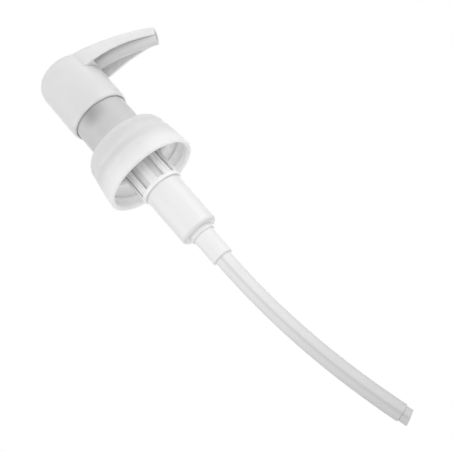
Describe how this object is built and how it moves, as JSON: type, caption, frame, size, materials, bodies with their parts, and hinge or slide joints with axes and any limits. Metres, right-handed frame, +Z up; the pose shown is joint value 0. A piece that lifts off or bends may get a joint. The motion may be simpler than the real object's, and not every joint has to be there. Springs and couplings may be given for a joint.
{
  "type": "condiment pump dispenser",
  "caption": "Screw-on plunger pump for a sauce bottle: drooping spout head, flared closure, ribbed pump sleeve and a bent dip tube.",
  "frame": {"origin": "on the pump axis at the bottle neck's sealing face, which is the underside of the neck gasket", "axes": "+Z up along the pump axis to the head, +X along the spout, +Y to the left of the spout seen from behind the head"},
  "size_m": [0.0644, 0.042, 0.2077],
  "materials": {
    "head_plastic": "satin",
    "engine_plastic": "satin",
    "piston_plastic": "satin",
    "barrel_plastic": "glossy",
    "frosted_plastic": "frosted",
    "tube_plastic": "satin",
    "gasket_foam": "matte",
    "seal_rubber": "matte",
    "ball_steel": "polished",
    "spring_steel": "satin"
  },
  "bodies": {
    "closure": {"closure_bell": "frosted_plastic"},
    "core": {"pump_housing": "engine_plastic", "neck_adapter": "engine_plastic", "neck_gasket": "gasket_foam", "guide_collar": "frosted_plastic", "stem_wiper": "seal_rubber", "barrel": "barrel_plastic", "barrel_seal": "seal_rubber", "foot_valve_body": "engine_plastic", "ball_cage": "engine_plastic", "dip_tube": "tube_plastic", "return_spring": "spring_steel"},
    "plunger": {"piston": "piston_plastic"},
    "head": {"head_shell": "head_plastic", "nozzle_duct": "head_plastic", "stem_socket": "engine_plastic", "stem": "engine_plastic", "discharge_cage": "engine_plastic", "valve_rod": "engine_plastic"},
    "foot_check": {"foot_ball": "ball_steel"},
    "discharge_check": {"discharge_ball": "ball_steel"}
  },
  "joints": [
    {"name": "core_turn", "type": "hinge", "parent": "closure", "child": "core", "pos_m": [0, 0, 0], "axis": [0, 0, 1], "continuous": true},
    {"name": "pump_stroke", "type": "slide", "parent": "core", "child": "plunger", "axis": [0, 0, -1], "range_m": [0, 0.01], "stiffness_N_per_m": 1000, "springref_m": -0.006, "deforming": ["return_spring"]},
    {"name": "head_turn", "type": "hinge", "parent": "plunger", "child": "head", "pos_m": [0, 0, 0], "axis": [0, 0, 1], "continuous": true},
    {"name": "foot_ball_lift", "type": "slide", "parent": "core", "child": "foot_check", "axis": [0, 0, 1], "range_m": [0, 0.0015]},
    {"name": "discharge_ball_lift", "type": "slide", "parent": "head", "child": "discharge_check", "axis": [0, 0, 1], "range_m": [0, 0.0025]}
  ]
}
